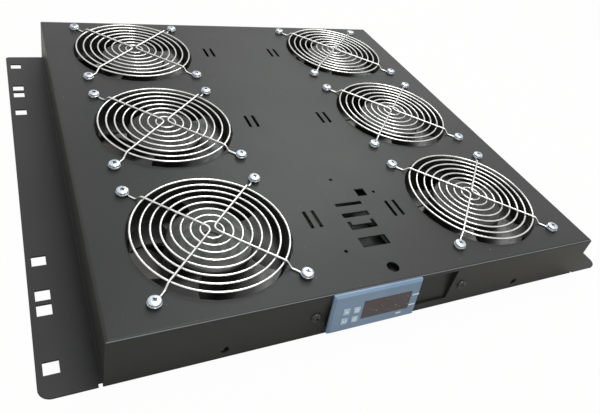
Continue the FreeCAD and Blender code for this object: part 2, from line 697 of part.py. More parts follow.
def carrier():
    """Plate that carries the controller: a leaning panel between two cheeks and two screwed ears."""
    low = -CARRIER_TOP - CARRIER_HEIGHT
    half = carrier_half()
    panel = block(-half, half, CARRIER_GAP, CARRIER_GAP + CARRIER, low, -CARRIER_TOP)
    x0, x1, z0, z1 = case_span()
    fit = CARRIER_FIT
    panel = panel.cut(block(x0 - fit, x1 + fit, 0, CARRIER_GAP + 2 * CARRIER, z0 - fit, z1 + fit))
    panel = lean(panel)
    back = FRONT_Y + SHEET
    middle = TOP_Z - EAR_SCREW_DROP
    pieces = []
    for side in (-1, 1):
        x_in, x_out = side * (half - CARRIER), side * (half + EAR_WIDTH)
        ear = block(*sorted((x_in, x_out)), back, back + CARRIER, middle - EAR_HEIGHT / 2,
                    middle + EAR_HEIGHT / 2)
        ear = ear.cut(screw_hole_y(CARRIER_SCREW_RADIUS, side * ear_screw_x(), middle, back, 2 * SHEET))
        pieces += [ear, cheek(side, back, low)]
    return panel.fuse(pieces).removeSplitter()


def leaning_point(y, z):
    """Where a point of the controller's own layout lies on the tray."""
    a = math.radians(-LEAN)
    return (FRONT_Y + y * math.cos(a) - z * math.sin(a),
            TOP_Z - BEZEL_DROP + y * math.sin(a) + z * math.cos(a))


def cheek(side, back, low):
    """Folded web between an ear and the leaning panel's end."""
    depth = CARRIER_GAP + CARRIER
    top_y, top_z = leaning_point(depth, -CARRIER_TOP - CARRIER)
    low_y, low_z = leaning_point(depth, low)
    x = min(side * (carrier_half() - CARRIER), side * carrier_half())
    corners = [V(x, back, low_z), V(x, low_y, low_z), V(x, top_y, top_z), V(x, back, top_z)]
    return flat_face(corners).extrude(V(CARRIER, 0, 0))


def flange_screw(radius, length, head_radius, head, x, y, z, direction):
    """Pan-head screw along Y with its head's seat at Y and its shank pointing the given way."""
    shank = flat_sided(6, radius, 0, length)
    dome = tapered(8, head_radius * 0.6, -head, head_radius, 0)
    return along_y(dome.fuse(shank), x, y, z, direction)


def flange_nut(flats, height, bore, x, y, z, direction):
    """Hexagon nut on a screw that lies along Y."""
    nut = flat_sided(6, flats / math.sqrt(3), 0, height).cut(flat_sided(6, bore, -1, height + 1))
    return along_y(nut, x, y, z, direction)


def carrier_screw(side):
    """Black pan-head screw through the front flange and an ear."""
    return flange_screw(CARRIER_SCREW_RADIUS, CARRIER_SCREW_LENGTH, CARRIER_HEAD_RADIUS, CARRIER_HEAD,
                        side * ear_screw_x(), FRONT_Y, TOP_Z - EAR_SCREW_DROP, 1)


def carrier_nut(side):
    """Nut behind an ear."""
    return flange_nut(CARRIER_NUT_FLATS, CARRIER_NUT_HEIGHT, CARRIER_SCREW_RADIUS, side * ear_screw_x(),
                      FRONT_Y + SHEET + CARRIER, TOP_Z - EAR_SCREW_DROP, 1)


# ---- Mains inlet ------------------------------------------------------------------------------

def inlet_z():
    """Height of the inlet's middle."""
    return TOP_Z - INLET_DROP


def inlet_outline(width, height, y0, y1):
    """Bar of the inlet's section, with its two lower corners cut off."""
    c = INLET_CORNER
    z, w, h = inlet_z(), width / 2, height / 2
    corners = [V(INLET_X - w, y0, z + h), V(INLET_X + w, y0, z + h), V(INLET_X + w, y0, z - h + c),
               V(INLET_X + w - c, y0, z - h), V(INLET_X - w + c, y0, z - h), V(INLET_X - w, y0, z - h + c)]
    return flat_face(corners).extrude(V(0, y1 - y0, 0))


def power_inlet():
    """Moulded three-pin inlet, flanged against the outside of the rear flange."""
    width, height, thickness = INLET_FLANGE
    z = inlet_z()
    plate = block(INLET_X - width / 2, INLET_X + width / 2, REAR_Y, REAR_Y + thickness, z - height / 2,
                  z + height / 2)
    body = inlet_outline(INLET_BODY[0], INLET_BODY[1], REAR_Y - INLET_BODY[2], REAR_Y + thickness)
    face = REAR_Y + thickness
    recess = inlet_outline(INLET_RECESS[0], INLET_RECESS[1], face - INLET_RECESS[2], face + 1)
    spots = [INLET_X + side * INLET_SCREW_PITCH / 2 for side in (-1, 1)]
    holes = [screw_hole_y(INLET_SCREW_RADIUS, x, z, REAR_Y, 2 * thickness) for x in spots]
    return plate.fuse(body).cut([recess] + holes + pin_bars()).removeSplitter()


def pin_bars():
    """The three contact blades, from inside the recess to the tabs behind."""
    floor = REAR_Y + INLET_FLANGE[2] - INLET_RECESS[2]
    bars = []
    for k in (-1, 0, 1):
        x = INLET_X + k * PIN_PITCH
        z = inlet_z() + (PIN_OFFSET if k == 0 else -PIN_OFFSET)
        bars.append(block(x - PIN[0] / 2, x + PIN[0] / 2, REAR_Y - INLET_BODY[2] - TAB_REACH,
                          floor + PIN_LENGTH, z - PIN[1] / 2, z + PIN[1] / 2))
    return bars


def inlet_screw(side):
    """Screw through the inlet's flange and the tray."""
    return flange_screw(INLET_SCREW_RADIUS, INLET_SCREW_LENGTH, INLET_HEAD_RADIUS, INLET_HEAD,
                        INLET_X + side * INLET_SCREW_PITCH / 2, REAR_Y + INLET_FLANGE[2], inlet_z(), -1)


def inlet_nut(side):
    """Nut inside the rear flange."""
    return flange_nut(INLET_NUT_FLATS, INLET_NUT_HEIGHT, INLET_SCREW_RADIUS,
                      INLET_X + side * INLET_SCREW_PITCH / 2, REAR_Y - SHEET, inlet_z(), -1)


# ---- Assembly ---------------------------------------------------------------------------------

def each(make, places):
    """One group of like solids, made at every place."""
    return Part.makeCompound([make(*place) for place in places])


def all_nodes():
    """Every piece of the tray by name."""
    centres = [place for _, place in fan_places()]
    corners = [corner for centre in centres for corner in corner_places(*centre)]
    sides = [(-1,), (1,)]
    nodes = {"tray_shell": tray_shell()}
    for number, (x, y) in fan_places():
        nodes[f"fan_frame_{number}"] = fan_frame(x, y)
        nodes[f"stator_{number}"] = stator(x, y)
        nodes[f"impeller_{number}"] = impeller(x, y)
        nodes[f"rotor_shaft_{number}"] = rotor_shaft(x, y)
        nodes[f"finger_guard_{number}"] = finger_guard(x, y)
    nodes["fan_bushes"] = each(bush, centres)
    nodes["guard_screws"] = each(guard_screw, corners)
    nodes["controller_bezel"] = bezel()
    nodes["controller_case"] = case()
    nodes["display_window"] = display_window()
    nodes["display_module"] = display_module()
    nodes["controller_boards"] = controller_board()
    for name, (left, top) in KEYS.items():
        nodes[name] = key(left, top)
    nodes["side_clips"] = side_clips()
    nodes["controller_terminals"] = controller_terminals()
    nodes["controller_carrier"] = carrier()
    nodes["carrier_screws"] = each(carrier_screw, sides)
    nodes["carrier_nuts"] = each(carrier_nut, sides)
    nodes["power_inlet"] = power_inlet()
    nodes["inlet_pins"] = Part.makeCompound(pin_bars())
    nodes["inlet_screws"] = each(inlet_screw, sides)
    nodes["inlet_nuts"] = each(inlet_nut, sides)
    return nodes


def middle_shift():
    """Moves the tray so that Y = 0 is the middle of its overall length."""
    a = math.radians(LEAN)
    front = FRONT_Y - (BEZEL_HEIGHT - BEZEL_BEVEL) * math.sin(a) - BEZEL_THICKNESS * math.cos(a)
    rear = REAR_Y + INLET_FLANGE[2] + INLET_HEAD
    return -(front + rear) / 2


os.makedirs("parts", exist_ok=True)
for node_name, node_shape in all_nodes().items():
    node_shape.translate(V(0, middle_shift(), 0))
    node_shape.exportStep(f"parts/{node_name}.step")
print("tray moved along Y by", round(middle_shift(), 3), "mm, top face at Z", TOP_Z)
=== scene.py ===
import math
import random

import bmesh
import bpy
from mathutils import Matrix, Vector


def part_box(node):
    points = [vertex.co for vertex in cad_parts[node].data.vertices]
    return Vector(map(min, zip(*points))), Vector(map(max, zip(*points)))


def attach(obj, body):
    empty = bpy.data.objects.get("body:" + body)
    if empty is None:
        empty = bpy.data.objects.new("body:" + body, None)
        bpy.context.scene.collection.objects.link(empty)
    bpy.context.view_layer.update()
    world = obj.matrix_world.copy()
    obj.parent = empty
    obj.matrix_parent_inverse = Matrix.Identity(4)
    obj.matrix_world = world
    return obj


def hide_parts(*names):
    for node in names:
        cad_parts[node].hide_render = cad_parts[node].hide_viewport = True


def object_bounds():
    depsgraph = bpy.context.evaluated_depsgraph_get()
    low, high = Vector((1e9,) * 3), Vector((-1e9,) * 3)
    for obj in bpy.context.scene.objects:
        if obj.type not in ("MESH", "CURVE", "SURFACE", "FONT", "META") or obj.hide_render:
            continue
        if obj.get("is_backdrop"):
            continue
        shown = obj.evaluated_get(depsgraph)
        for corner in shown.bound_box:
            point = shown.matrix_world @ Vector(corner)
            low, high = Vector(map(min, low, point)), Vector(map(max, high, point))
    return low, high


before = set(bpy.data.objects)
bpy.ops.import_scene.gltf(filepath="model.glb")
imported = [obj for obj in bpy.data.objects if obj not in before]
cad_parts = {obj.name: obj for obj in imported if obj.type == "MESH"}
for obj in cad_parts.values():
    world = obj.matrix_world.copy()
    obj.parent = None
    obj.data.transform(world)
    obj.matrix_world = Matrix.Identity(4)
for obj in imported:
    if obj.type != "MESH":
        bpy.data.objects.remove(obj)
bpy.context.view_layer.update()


# ---- Studio ----------------------------------------------------------------------------------
# A plain, slightly warm pale floor under a soft white sky and three lamps. The floor is plain white to
# the camera outside the tray's outline, and keeps its own shade beneath it, where little light comes in.
FLOOR_SIZE = 6.0
FLOOR_PALE = (0.64, 0.61, 0.55)
FLOOR_GLOW = 0.97
SHADE_MARGIN = 0.004
BODY_HALF = 0.2055
SKY_LIGHT = 0.38
LAMPS = (
    ("back_lamp", (0.52, 0.78, 0.90), (0.6, 0.4), 3.6, (0.95, 1.0, 0.97)),
    ("top_lamp", (0.30, 0.05, 1.5), (0.9, 0.9), 15.0, (0.98, 1.0, 0.98)),
    ("front_lamp", (-0.1, -1.15, 1.2), (0.35, 0.25), 4.0, (0.97, 0.98, 1.0)),
)

scene = bpy.context.scene
scene.view_settings.view_transform = "Standard"


def linked(name, mesh):
    """Object of that mesh at the origin, linked to the scene."""
    made = bpy.data.objects.new(name, mesh)
    scene.collection.objects.link(made)
    return made


def shader(name):
    """New node material: its tree and its main shader."""
    material = bpy.data.materials.new(name)
    material.use_nodes = True
    return material, material.node_tree, material.node_tree.nodes["Principled BSDF"]


def worked(tree, operation, first, second, clamp=False):
    """Result of one sum, where each side is a number or a socket."""
    node = tree.nodes.new("ShaderNodeMath")
    node.operation = operation
    node.use_clamp = clamp
    for socket, side in zip(node.inputs, (first, second)):
        if isinstance(side, (int, float)):
            socket.default_value = side
        else:
            tree.links.new(side, socket)
    return node.outputs[0]


def seen_directly(tree):
    """1 for what the camera sees, by itself or in something shiny or clear."""
    rays = tree.nodes.new("ShaderNodeLightPath")
    shiny = worked(tree, "MAXIMUM", rays.outputs["Is Camera Ray"], rays.outputs["Is Glossy Ray"])
    return worked(tree, "MAXIMUM", shiny, rays.outputs["Is Transmission Ray"])


world = bpy.data.worlds.new("studio")
scene.world = world
world.use_nodes = True
sky = world.node_tree
backdrop = sky.nodes["Background"]
backdrop.inputs["Color"].default_value = (1, 1, 1, 1)
strength = worked(sky, "MULTIPLY", seen_directly(sky), 1.0 - SKY_LIGHT)
sky.links.new(worked(sky, "ADD", strength, SKY_LIGHT), backdrop.inputs["Strength"])

bm = bmesh.new()
bmesh.ops.create_grid(bm, x_segments=1, y_segments=1, size=FLOOR_SIZE)
floor_mesh = bpy.data.meshes.new("floor")
bm.to_mesh(floor_mesh)
bm.free()
floor = linked("floor", floor_mesh)
floor_material, tree, main = shader("floor_pale")
main.inputs["Base Color"].default_value = (*FLOOR_PALE, 1)
main.inputs["Roughness"].default_value = 0.9
main.inputs["Specular IOR Level"].default_value = 0.1
place = tree.nodes.new("ShaderNodeTexCoord")
axes = tree.nodes.new("ShaderNodeSeparateXYZ")
tree.links.new(place.outputs["Object"], axes.inputs[0])
tray_low, tray_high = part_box("tray_shell")
sideways = worked(tree, "ABSOLUTE", axes.outputs["X"], 0)
across = worked(tree, "GREATER_THAN", sideways, BODY_HALF - SHADE_MARGIN)
before = worked(tree, "LESS_THAN", axes.outputs["Y"], tray_low.y + SHADE_MARGIN)
behind = worked(tree, "GREATER_THAN", axes.outputs["Y"], tray_high.y - SHADE_MARGIN)
outside = worked(tree, "MAXIMUM", across, worked(tree, "MAXIMUM", before, behind))
rays = tree.nodes.new("ShaderNodeLightPath")
share = worked(tree, "MULTIPLY", worked(tree, "MULTIPLY", outside, rays.outputs["Is Camera Ray"]), FLOOR_GLOW)
glow = tree.nodes.new("ShaderNodeEmission")
blend = tree.nodes.new("ShaderNodeMixShader")
tree.links.new(share, blend.inputs["Fac"])
tree.links.new(main.outputs[0], blend.inputs[1])
tree.links.new(glow.outputs[0], blend.inputs[2])
tree.links.new(blend.outputs[0], tree.nodes["Material Output"].inputs["Surface"])
floor.data.materials.append(floor_material)
floor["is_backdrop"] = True

for name, place, size, power, tint in LAMPS:
    data = bpy.data.lights.new(name, "AREA")
    data.shape = "RECTANGLE"
    data.size, data.size_y = size
    data.energy = power
    data.color = tint
    lamp = bpy.data.objects.new(name, data)
    scene.collection.objects.link(lamp)
    lamp.location = place
    lamp.rotation_euler = (-Vector(place)).to_track_quat("-Z", "Y").to_euler()

# The camera stands at the left front corner, high, with a slight roll.
CAMERA_PLACE = (-0.24668, -0.41463, 0.33230)
CAMERA_TURN = (55.583, -12.210, -24.042)
CAMERA_LENS = 34.73
CAMERA_SHIFT = (0.0065, -0.0972)
camera_data = bpy.data.cameras.new("camera")
camera_data.lens = CAMERA_LENS
camera_data.sensor_width = 36.0
camera_data.shift_x, camera_data.shift_y = CAMERA_SHIFT
camera_data.clip_start = 0.01
camera = bpy.data.objects.new("camera", camera_data)
camera.location = CAMERA_PLACE
camera.rotation_euler = [math.radians(a) for a in CAMERA_TURN]
scene.collection.objects.link(camera)
scene.camera = camera


# ---- Tray ------------------------------------------------------------------------------------
# One sheet of mild steel, punched and folded, with a satin black polyester powder coat baked on. The
# coat has a fine orange peel and is a little rubbed along the folds, where a pale thin-coat line is a painted
# highlight.
COAT_DARK, COAT_LIGHT = (0.0285, 0.0300, 0.0292), (0.0345, 0.0355, 0.0342)
DUST_GREY = (0.16, 0.16, 0.155)
# Pale bluish colour painted along the folds as their highlight.
FOLD_HIGHLIGHT_PAINT = (0.30, 0.32, 0.35)
BARE_STEEL = (0.5, 0.52, 0.54)
CHIPPED_WIDTH = 0.0022
# Widths of the painted highlight band: along the front and rear folds, and along the side folds.
FOLD_HIGHLIGHT_WIDTH, FOLD_HIGHLIGHT_SIDE_WIDTH = 0.0012, 0.0004

def object_coordinates(tree, scale):
    """Coordinates of the piece itself, scaled to pattern repeats per metre."""
    place = tree.nodes.new("ShaderNodeTexCoord")
    mapping = tree.nodes.new("ShaderNodeMapping")
    mapping.inputs["Scale"].default_value = (scale, scale, scale)
    tree.links.new(place.outputs["Object"], mapping.inputs["Vector"])
    return mapping.outputs["Vector"]


def noise(tree, scale, detail=2.0, roughness=0.5):
    """Noise pattern over the piece, in repeats per metre."""
    pattern = tree.nodes.new("ShaderNodeTexNoise")
    pattern.inputs["Scale"].default_value = 1.0
    pattern.inputs["Detail"].default_value = detail
    pattern.inputs["Roughness"].default_value = roughness
    tree.links.new(object_coordinates(tree, scale), pattern.inputs["Vector"])
    return pattern.outputs["Fac"]


def ramp(tree, value, stops):
    """Colour ramp over a value: (place, colour) stops."""
    made = tree.nodes.new("ShaderNodeValToRGB")
    elements = made.color_ramp.elements
    while len(elements) < len(stops):
        elements.new(0.5)
    for element, (place, colour) in zip(elements, stops):
        element.position = place
        element.color = (*colour, 1)
    tree.links.new(value, made.inputs["Fac"])
    return made.outputs["Color"]


def grey(level):
    """Neutral colour of one level."""
    return (level, level, level)


def roughness_between(tree, main, value, low, high):
    """Roughness that follows a pattern between two limits."""
    span = tree.nodes.new("ShaderNodeMapRange")
    span.inputs["To Min"].default_value = low
    span.inputs["To Max"].default_value = high
    tree.links.new(value, span.inputs["Value"])
    tree.links.new(span.outputs[0], main.inputs["Roughness"])


def bump(tree, main, value, strength, height):
    """Bump on the shader from a pattern, with its height in metres."""
    made = tree.nodes.new("ShaderNodeBump")
    made.inputs["Strength"].default_value = strength
    made.inputs["Distance"].default_value = height
    tree.links.new(value, made.inputs["Height"])
    tree.links.new(made.outputs[0], main.inputs["Normal"])


def mixed(tree, share, first, second):
    """Colour that goes from the first to the second as the share goes from 0 to 1."""
    node = tree.nodes.new("ShaderNodeMix")
    node.data_type = "RGBA"
    tree.links.new(share, node.inputs["Factor"])
    for socket, colour in ((node.inputs["A"], first), (node.inputs["B"], second)):
        if isinstance(colour, tuple):
            socket.default_value = (*colour, 1)
        else:
            tree.links.new(colour, socket)
    return node.outputs["Result"]


def fold_band(tree, width, side_width):
    """1 close to the folds round the top of the tray, 0 elsewhere, with the side folds' own width."""
    place = tree.nodes.new("ShaderNodeTexCoord")
    axes = tree.nodes.new("ShaderNodeSeparateXYZ")
    tree.links.new(place.outputs["Object"], axes.inputs[0])
    front = worked(tree, "SUBTRACT", tray_low.y + width, axes.outputs["Y"])
    rear = worked(tree, "SUBTRACT", axes.outputs["Y"], tray_high.y - width)
    side = worked(tree, "SUBTRACT", worked(tree, "ABSOLUTE", axes.outputs["X"], 0), BODY_HALF - side_width)
    near = worked(tree, "MAXIMUM", side, worked(tree, "MAXIMUM", front, rear))
    level = worked(tree, "SUBTRACT", axes.outputs["Z"], tray_high.z - width)
    inside = worked(tree, "MINIMUM", near, level)
    return worked(tree, "MULTIPLY", inside, 1 / width, clamp=True)


def powder_coat():
    """Satin black coat: faint mottling, orange peel, dust, bare metal rubbed through at the folds, and a
    painted highlight along them.
    """
    material, tree, main = shader("black_powder_coat")
    tone = noise(tree, 9.0, 3.0)
    base = ramp(tree, tone, [(0.35, COAT_DARK), (0.65, COAT_LIGHT)])
    dust = ramp(tree, noise(tree, 700.0, 0.0), [(0.87, grey(0.0)), (0.89, grey(1.0))])
    base = mixed(tree, dust, base, DUST_GREY)
    chips = worked(tree, "MULTIPLY", fold_band(tree, CHIPPED_WIDTH, CHIPPED_WIDTH), noise(tree, 420.0, 2.0))
    worn = ramp(tree, chips, [(0.50, grey(0.0)), (0.54, grey(1.0))])
    # Painted highlight: a pale line along the folds, where the coat is thin.
    painted_highlight = ramp(tree, fold_band(tree, FOLD_HIGHLIGHT_WIDTH, FOLD_HIGHLIGHT_SIDE_WIDTH), [(0.25, grey(0.0)), (0.55, grey(1.0))])
    base = mixed(tree, painted_highlight, base, FOLD_HIGHLIGHT_PAINT)
    tree.links.new(mixed(tree, worn, base, BARE_STEEL), main.inputs["Base Color"])
    main.inputs["Specular IOR Level"].default_value = 0.2
    roughness_between(tree, main, noise(tree, 30.0, 3.0), 0.34, 0.44)
    bump(tree, main, noise(tree, 1100.0, 1.0), 0.2, 0.00005)
    return material


def dress(node, material):
    """Gives a carried CAD piece its finish."""
    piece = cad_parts[node]
    piece.data.materials.clear()
    piece.data.materials.append(material)


black_coat = powder_coat()
dress("tray_shell", black_coat)
dress("controller_carrier", black_coat)


# ---- Fan frames ------------------------------------------------------------------------------
# Die-cast aluminium frames in black enamel: a round barrel between two square flanges, four struts and
# the motor's base underneath. The enamel is smooth and half glossy, and dusty in the bore.
FAN_HALF = 0.060
FAN_LOW, FAN_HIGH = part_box("fan_frame_1")[0].z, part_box("fan_frame_1")[1].z
FLANGE_THICK = 0.0045
BORE_RADIUS = 0.0578
MOUTH_RADIUS = 0.0592
SCREW_SQUARE = 0.0525
FLANGE_CORNER = 0.007
FLANGE_HOLE = 0.00215
STRUT_COUNT = 4
STRUT_HALF = 0.003
STRUT_TALL = 0.004
STRUT_EDGE = 0.0008
MOUTH_LOW, MOUTH_HIGH = 0.004, 0.005
BARREL_INSET = 0.0002
BARREL_STEPS = 96
OVERLAP = 0.001
BASE_RADIUS = 0.031
BASE_EDGE = 0.001
POST_RADIUS = 0.0075
POST_TALL = 0.027


def fan_centre(number):
    """Middle of a fan at rest, on the floor of the frame's own coordinates."""
    low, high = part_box(f"fan_frame_{number}")
    return Vector(((low.x + high.x) / 2, (low.y + high.y) / 2, 0))


def mesh_from(bm, name):
    """Mesh of a finished bmesh, with its doubles merged and its faces pointing outwards."""
    bmesh.ops.remove_doubles(bm, verts=bm.verts, dist=1e-7)
    bmesh.ops.recalc_face_normals(bm, faces=bm.faces)
    mesh = bpy.data.meshes.new(name)
    bm.to_mesh(mesh)
    bm.free()
    return mesh


def turned(name, outline, steps=96):
    """Mesh turned round Z from a closed or open outline of (radius, height) points."""
    bm = bmesh.new()
    corners = [bm.verts.new((r, 0, z)) for r, z in outline]
    edges = [bm.edges.new(pair) for pair in zip(corners, corners[1:])]
    bmesh.ops.spin(bm, geom=corners + edges, cent=(0, 0, 0), axis=(0, 0, 1), angle=2 * math.pi, steps=steps,
                   use_merge=True, use_duplicate=False)
    return mesh_from(bm, name)


def bar(bm, x0, x1, y0, y1, z0, z1):
    """Adds a plain bar between two corners and returns its vertices."""
    made = bmesh.ops.create_cube(bm, size=1.0)["verts"]
    bmesh.ops.scale(bm, verts=made, vec=(x1 - x0, y1 - y0, z1 - z0))
    bmesh.ops.translate(bm, verts=made, vec=((x0 + x1) / 2, (y0 + y1) / 2, (z0 + z1) / 2))
    return made


def upright_edges(bm):
    """Edges that run along Z."""
    return [e for e in bm.edges if abs(e.verts[0].co.z - e.verts[1].co.z) > 1e-6
            and (e.verts[0].co.xy - e.verts[1].co.xy).length < 1e-7]


def joined(base, others, operation):
    """Mesh of base after joining or cutting other closed meshes, one after another."""
    body = linked("work", base)
    tools = [linked("tool", mesh) for mesh in others]
    for tool in tools:
        step = body.modifiers.new("step", "BOOLEAN")
        step.operation = operation
        step.solver = "EXACT"
        step.object = tool
    bpy.context.view_layer.update()
    seen_by = bpy.context.evaluated_depsgraph_get()
    mesh = bpy.data.meshes.new_from_object(body.evaluated_get(seen_by))
    for made in [body] + tools:
        bpy.data.objects.remove(made)
    return mesh


def pole(radius, low, high, steps=48):
    """Closed round bar on Z."""
    return turned("pole", [(0, low), (radius, low), (radius, high), (0, high)], steps)


def moved(mesh, *steps):
    """Copy of a mesh after one or more transforms."""
    copy = mesh.copy()
    for step in steps:
        copy.transform(step)
    return copy


def flange_plate(low, high):
    """Square flange with rounded corners."""
    bm = bmesh.new()
    bar(bm, -FAN_HALF, FAN_HALF, -FAN_HALF, FAN_HALF, low, high)
    bmesh.ops.bevel(bm, geom=upright_edges(bm), offset=FLANGE_CORNER, affect="EDGES", segments=6, profile=0.5,
                    material=-1)
    return mesh_from(bm, "flange")


def fan_frame_mesh():
    """The whole casting round its own middle."""
    barrel = pole(FAN_HALF - BARREL_INSET, FAN_LOW + OVERLAP, FAN_HIGH - OVERLAP, BARREL_STEPS)
    flanges = [flange_plate(FAN_LOW, FAN_LOW + FLANGE_THICK),
               flange_plate(FAN_HIGH - FLANGE_THICK, FAN_HIGH)]
    body = joined(barrel, flanges, "UNION")
    below, above = FAN_LOW - OVERLAP, FAN_HIGH + OVERLAP
    bore = turned("bore", [(0, below), (MOUTH_RADIUS, below), (MOUTH_RADIUS, FAN_LOW),
                           (BORE_RADIUS, FAN_LOW + MOUTH_LOW), (BORE_RADIUS, FAN_HIGH - MOUTH_HIGH),
                           (MOUTH_RADIUS, FAN_HIGH), (MOUTH_RADIUS, above), (0, above)])
    hole = pole(FLANGE_HOLE, below, above, 20)
    holes = [moved(hole, Matrix.Translation((i * SCREW_SQUARE, j * SCREW_SQUARE, 0)))
             for i in (-1, 1) for j in (-1, 1)]
    body = joined(body, [bore] + holes, "DIFFERENCE")
    struts = []
    for k in range(STRUT_COUNT):
        bm = bmesh.new()
        bar(bm, 0.0, BORE_RADIUS + STRUT_EDGE, -STRUT_HALF, STRUT_HALF, FAN_LOW, FAN_LOW + STRUT_TALL)
        lengthwise = [e for e in bm.edges if e.calc_length() > BORE_RADIUS / 2]
        bmesh.ops.bevel(bm, geom=lengthwise, offset=STRUT_EDGE, affect="EDGES", segments=3, profile=0.5,
                        material=-1)
        strut = mesh_from(bm, "strut")
        strut.transform(Matrix.Rotation(2 * math.pi * (k + 0.5) / STRUT_COUNT, 4, "Z"))
        struts.append(strut)
    base = turned("base", [(0, FAN_LOW), (BASE_RADIUS - BASE_EDGE, FAN_LOW),
                           (BASE_RADIUS, FAN_LOW + BASE_EDGE),
                           (BASE_RADIUS, FAN_LOW + STRUT_TALL), (POST_RADIUS, FAN_LOW + STRUT_TALL),
                           (POST_RADIUS, FAN_LOW + POST_TALL), (0, FAN_LOW + POST_TALL)])
    return joined(body, struts + [base], "UNION")


def enamel():
    """Half-glossy black enamel with dust in it."""
    material, tree, main = shader("fan_enamel")
    main_colour = ramp(tree, noise(tree, 60.0, 4.0), [(0.4, grey(0.012)), (0.75, grey(0.03))])
    tree.links.new(main_colour, main.inputs["Base Color"])
    main.inputs["Specular IOR Level"].default_value = 0.3
    roughness_between(tree, main, noise(tree, 80.0, 2.0), 0.30, 0.42)
    bump(tree, main, noise(tree, 700.0, 2.0), 0.15, 0.00005)
    return material


def smooth_by_angle(mesh, degrees):
    """Smooth shading, with edges sharper than the angle kept crisp."""
    mesh.shade_smooth()
    mesh.set_sharp_from_angle(angle=math.radians(degrees))


def dressed(name, mesh, material, body, *nodes):
    """Finished piece: named, painted, riding its body and standing for CAD pieces."""
    piece = linked(name, mesh)
    mesh.materials.clear()
    mesh.materials.append(material)
    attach(piece, body)
    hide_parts(*nodes)
    return piece


fan_enamel = enamel()
casting = fan_frame_mesh()
smooth_by_angle(casting, 30)
for number in range(1, 7):
    place = Matrix.Translation(fan_centre(number))
    dressed(f"cast_fan_frame_{number}", moved(casting, place), fan_enamel, "tray", f"fan_frame_{number}")


# ---- Impellers -------------------------------------------------------------------------------
# A pressed rotor cup over the motor and five broad twisted blades, in glossy black. The cup's crown
# has a shallow turned ring round its middle.
HUB_RADIUS = 0.032
HUB_LOW, HUB_HIGH = FAN_LOW + 0.007, FAN_LOW + 0.035
HUB_WALL = 0.0026
HUB_ROUND = 0.0025
HUB_CROWN = ((0, 0.0004), (0.0050, 0.0004), (0.0054, 0.0010), (0.0068, 0.0010), (0.0072, 0.0003), (0.0200, 0))
BLADE_COUNT = 5
BLADE_GRID = (10, 16)
BLADE_TIP = 0.0557
BLADE_MIDDLE = FAN_LOW + 0.0205
BLADE_RISE = (0.024, 0.018)
BLADE_SWEEP = (50.0, 58.0)
BLADE_ARCH = 0.003
BLADE_THICK = 0.0018
BLADE_LEAN = 14.0


def hub_mesh():
    """Rotor cup with a rounded crown."""
    r, low, high, wall = HUB_RADIUS, HUB_LOW, HUB_HIGH, HUB_WALL
    turns = [math.radians(degrees) for degrees in range(0, 91, 15)]
    rim = [(r - HUB_ROUND + HUB_ROUND * math.sin(a), high - HUB_ROUND + HUB_ROUND * math.cos(a))
           for a in turns]
    crown = [(reach, high - drop) for reach, drop in HUB_CROWN]
    inside = [(r, low), (r - wall, low), (r - wall, high - wall), (0, high - wall)]
    return turned("hub", crown + rim + inside)


def blade_mesh():
    """One blade: a flat grid swept round the hub, twisted and arched, then given its thickness."""
    bm = bmesh.new()
    bmesh.ops.create_grid(bm, x_segments=BLADE_GRID[0], y_segments=BLADE_GRID[1], size=0.5)
    root = HUB_RADIUS - HUB_WALL / 2
    for corner in bm.verts:
        outward, along = corner.co.x + 0.5, corner.co.y
        radius = root + outward * (BLADE_TIP - root)
        sweep = BLADE_SWEEP[0] + outward * (BLADE_SWEEP[1] - BLADE_SWEEP[0])
        rise = BLADE_RISE[0] + outward * (BLADE_RISE[1] - BLADE_RISE[0])
        turn = math.radians(along * sweep + BLADE_LEAN * (outward - 0.5) ** 2)
        height = BLADE_MIDDLE + along * rise + BLADE_ARCH * (1 - 4 * along ** 2)
        corner.co = (radius * math.cos(turn), radius * math.sin(turn), height)
    bmesh.ops.recalc_face_normals(bm, faces=bm.faces)
    bmesh.ops.solidify(bm, geom=bm.faces[:], thickness=BLADE_THICK)
    return mesh_from(bm, "blade")


def gloss_black():
    """Glossy black with faint dust and rub marks."""
    material, tree, main = shader("impeller_gloss")
    colour = ramp(tree, noise(tree, 45.0, 4.0), [(0.35, grey(0.008)), (0.8, grey(0.028))])
    tree.links.new(colour, main.inputs["Base Color"])
    roughness_between(tree, main, noise(tree, 60.0, 3.0), 0.30, 0.38)
    bump(tree, main, noise(tree, 300.0, 2.0), 0.08, 0.00005)
    return material


impeller_gloss = gloss_black()
wheel = bpy.data.meshes.new("wheel")
bm = bmesh.new()
bm.from_mesh(hub_mesh())
one_blade = blade_mesh()
for k in range(BLADE_COUNT):
    bm.from_mesh(moved(one_blade, Matrix.Rotation(2 * math.pi * k / BLADE_COUNT, 4, "Z")))
bm.to_mesh(wheel)
bm.free()
smooth_by_angle(wheel, 35)
for number in range(1, 7):
    place = Matrix.Translation(fan_centre(number))
    dressed(f"glossy_impeller_{number}", moved(wheel, place), impeller_gloss, f"impeller_{number}",
            f"impeller_{number}")


# ---- Finger guards ---------------------------------------------------------------------------
# Bright-plated steel wire: eight rings under two V-shaped legs, spot-welded where they cross. Outside the
# rings each leg steps down to the plate and is bent into an eye for its screw.
WIRE_RADIUS = 0.00085
WIRE_SIDES = 10
RING_STEPS_LEAST, RING_STEPS_PER_METRE = 36, 1800
RING_COUNT = 8
RING_OUTER = 0.0567
RING_STEP = 0.0069
PLATE_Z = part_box("tray_shell")[1].z
RING_CLEAR = 0.003
RING_Z = PLATE_Z + RING_CLEAR + WIRE_RADIUS
LEG_Z = RING_Z + 2 * WIRE_RADIUS
EYE_Z = PLATE_Z + WIRE_RADIUS
EYE_RADIUS = 0.0032
EYE_BEND, EYE_STEP = 150, 30
LEG_STATIONS = ((0.012, LEG_Z), (0.020, LEG_Z), (0.040, LEG_Z), (0.0570, LEG_Z), (0.0585, LEG_Z),
                (0.0625, EYE_Z), (0.0650, EYE_Z), (0.0690, EYE_Z))


